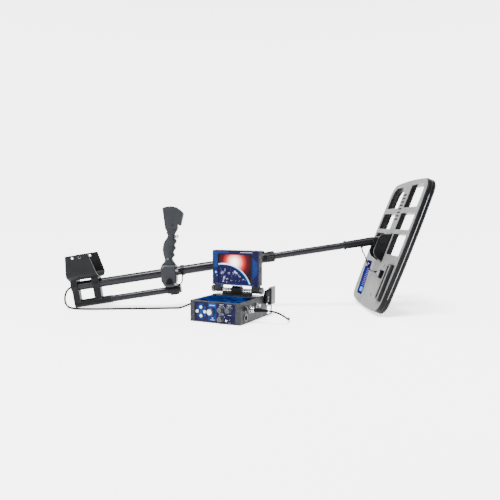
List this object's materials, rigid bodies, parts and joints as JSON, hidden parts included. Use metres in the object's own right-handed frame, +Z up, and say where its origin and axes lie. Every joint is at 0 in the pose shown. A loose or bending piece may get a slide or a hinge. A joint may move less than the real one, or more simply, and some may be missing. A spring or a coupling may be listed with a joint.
{
  "type": "metal detector",
  "caption": "Metal detector with telescopic shaft, arm cradle, hand grip and tilting openwork search coil, beside its cabled control box with flip-up display.",
  "frame": {"origin": "floor level under the middle of the whole outfit, measured without its cords", "axes": "+X along the shaft from the arm cradle towards the coil, +Y away from the control box side, +Z up"},
  "size_m": [1.1666, 0.4833, 0.4185],
  "materials": {
    "satin_tube": "satin black powder coat",
    "black_plastic": "moulded, fine grain",
    "grip_plastic": "moulded, dark grey",
    "cradle_sheet": "bent sheet, fine textured black",
    "cover_plastic": "light grey sheet",
    "rim_plastic": "moulded, dark grey",
    "copper_winding": "enamelled wire",
    "bright_metal": "polished",
    "steel": "plain",
    "case_paint": "textured dark grey",
    "blue_panel": "printed film, dark blue",
    "rubber": "matt",
    "grey_paint": "satin grey",
    "screen_glass": "screen, opaque",
    "board": "circuit board",
    "knob_grey": "moulded grey"
  },
  "bodies": {
    "frame": {"main_tube": "satin_tube", "lower_tube": "satin_tube", "rear_gland": "rubber", "clamp_collar": "black_plastic", "arm_bracket": "black_plastic", "arm_cradle": "cradle_sheet", "grip_near_shell": "grip_plastic", "grip_far_shell": "grip_plastic", "grip_head": "grip_plastic", "trigger_switch": "black_plastic", "grip_saddle": "black_plastic", "grip_flange": "bright_metal", "grip_lead": "rubber", "fixings": "bright_metal", "case_shell": "case_paint", "top_panel": "blue_panel", "front_panel": "blue_panel", "side_sockets": "bright_metal", "bracket_clamp": "black_plastic", "side_bracket": "grey_paint", "battery_pack": "black_plastic", "main_board": "board", "hinge_bracket": "black_plastic", "hinge_rod": "bright_metal", "probe_plug": "bright_metal", "main_plug": "bright_metal", "probe_tip": "bright_metal", "main_lead": "rubber", "probe_lead": "rubber"},
    "front_shaft": {"front_tube": "satin_tube", "yoke_sleeve": "black_plastic", "tilt_fork": "black_plastic", "tilt_bolt": "black_plastic", "coil_lead": "rubber"},
    "coil": {"coil_cover": "cover_plastic", "coil_top_shell": "rim_plastic", "coil_bottom_shell": "rim_plastic", "coil_windings": "copper_winding", "coil_channel": "black_plastic", "coil_screws": "steel", "coil_socket": "black_plastic", "coil_plug": "rubber", "coil_yoke": "black_plastic"},
    "lock_nut": {"collar_nut": "black_plastic"},
    "trigger": {"trigger_button": "bright_metal"},
    "saddle_knob": {"saddle_knob": "black_plastic"},
    "lid": {"lid_front_shell": "blue_panel", "lid_back_shell": "case_paint", "display": "screen_glass"},
    "left_hinge_knob": {"left_hinge_knob": "black_plastic"},
    "right_hinge_knob": {"right_hinge_knob": "black_plastic"},
    "up_button": {"up_button": "bright_metal"},
    "down_button": {"down_button": "bright_metal"},
    "left_button": {"left_button": "bright_metal"},
    "right_button": {"right_button": "bright_metal"},
    "select_button": {"select_button": "bright_metal"},
    "gain_knob": {"gain_knob": "knob_grey"},
    "volume_knob": {"volume_knob": "knob_grey"},
    "balance_knob": {"balance_knob": "knob_grey"},
    "toggle_lever": {"toggle_lever": "bright_metal"}
  },
  "joints": [
    {"name": "front_slide", "type": "slide", "parent": "frame", "child": "front_shaft", "axis": [0.9885, 0, 0.1513], "range_m": [-0.16, 0]},
    {"name": "coil_tilt", "type": "hinge", "parent": "front_shaft", "child": "coil", "pos_m": [0.44442, 0.0516, 0.22398], "axis": [0, 1, 0], "range_deg": [-60, 50], "deforming": ["coil_lead"]},
    {"name": "lock_nut_turn", "type": "hinge", "parent": "frame", "child": "lock_nut", "pos_m": [0.08658, 0.0516, 0.16922], "axis": [0.9885, 0, 0.1513], "range_deg": [-120, 120]},
    {"name": "trigger_press", "type": "slide", "parent": "frame", "child": "trigger", "axis": [-1, 0, 0], "range_m": [0, 0.003], "stiffness_N_per_m": 600, "springref_m": -0.0015},
    {"name": "saddle_knob_turn", "type": "hinge", "parent": "frame", "child": "saddle_knob", "pos_m": [-0.24206, 0.0516, 0.08847], "axis": [0, 1, 0], "range_deg": [-90, 90]},
    {"name": "lid_fold", "type": "hinge", "parent": "frame", "child": "lid", "pos_m": [-0.01949, -0.08396, 0.079], "axis": [0.8942, -0.4478, 0], "range_deg": [-20, 90]},
    {"name": "left_hinge_knob_turn", "type": "hinge", "parent": "frame", "child": "left_hinge_knob", "pos_m": [-0.01949, -0.08396, 0.079], "axis": [0.8942, -0.4478, 0], "range_deg": [-120, 120]},
    {"name": "right_hinge_knob_turn", "type": "hinge", "parent": "frame", "child": "right_hinge_knob", "pos_m": [-0.01949, -0.08396, 0.079], "axis": [0.8942, -0.4478, 0], "range_deg": [-120, 120]},
    {"name": "up_button_press", "type": "slide", "parent": "frame", "child": "up_button", "axis": [0.4478, 0.8942, 0], "range_m": [0, 0.0012], "stiffness_N_per_m": 400, "springref_m": -0.0006},
    {"name": "down_button_press", "type": "slide", "parent": "frame", "child": "down_button", "axis": [0.4478, 0.8942, 0], "range_m": [0, 0.0012], "stiffness_N_per_m": 400, "springref_m": -0.0006},
    {"name": "left_button_press", "type": "slide", "parent": "frame", "child": "left_button", "axis": [0.4478, 0.8942, 0], "range_m": [0, 0.0012], "stiffness_N_per_m": 400, "springref_m": -0.0006},
    {"name": "right_button_press", "type": "slide", "parent": "frame", "child": "right_button", "axis": [0.4478, 0.8942, 0], "range_m": [0, 0.0012], "stiffness_N_per_m": 400, "springref_m": -0.0006},
    {"name": "select_button_press", "type": "slide", "parent": "frame", "child": "select_button", "axis": [0.4478, 0.8942, 0], "range_m": [0, 0.0015], "stiffness_N_per_m": 500, "springref_m": -0.00075},
    {"name": "gain_knob_turn", "type": "hinge", "parent": "frame", "child": "gain_knob", "pos_m": [-0.05968, -0.21224, 0.04], "axis": [-0.4478, -0.8942, 0], "range_deg": [-140, 140]},
    {"name": "volume_knob_turn", "type": "hinge", "parent": "frame", "child": "volume_knob", "pos_m": [-0.03822, -0.22298, 0.04], "axis": [-0.4478, -0.8942, 0], "range_deg": [-140, 140]},
    {"name": "balance_knob_turn", "type": "hinge", "parent": "frame", "child": "balance_knob", "pos_m": [-0.05968, -0.21224, 0.014], "axis": [-0.4478, -0.8942, 0], "range_deg": [-140, 140]},
    {"name": "toggle_flip", "type": "hinge", "parent": "frame", "child": "toggle_lever", "pos_m": [-0.03733, -0.22343, 0.014], "axis": [0.8942, -0.4478, 0], "range_deg": [-14, 14]}
  ]
}
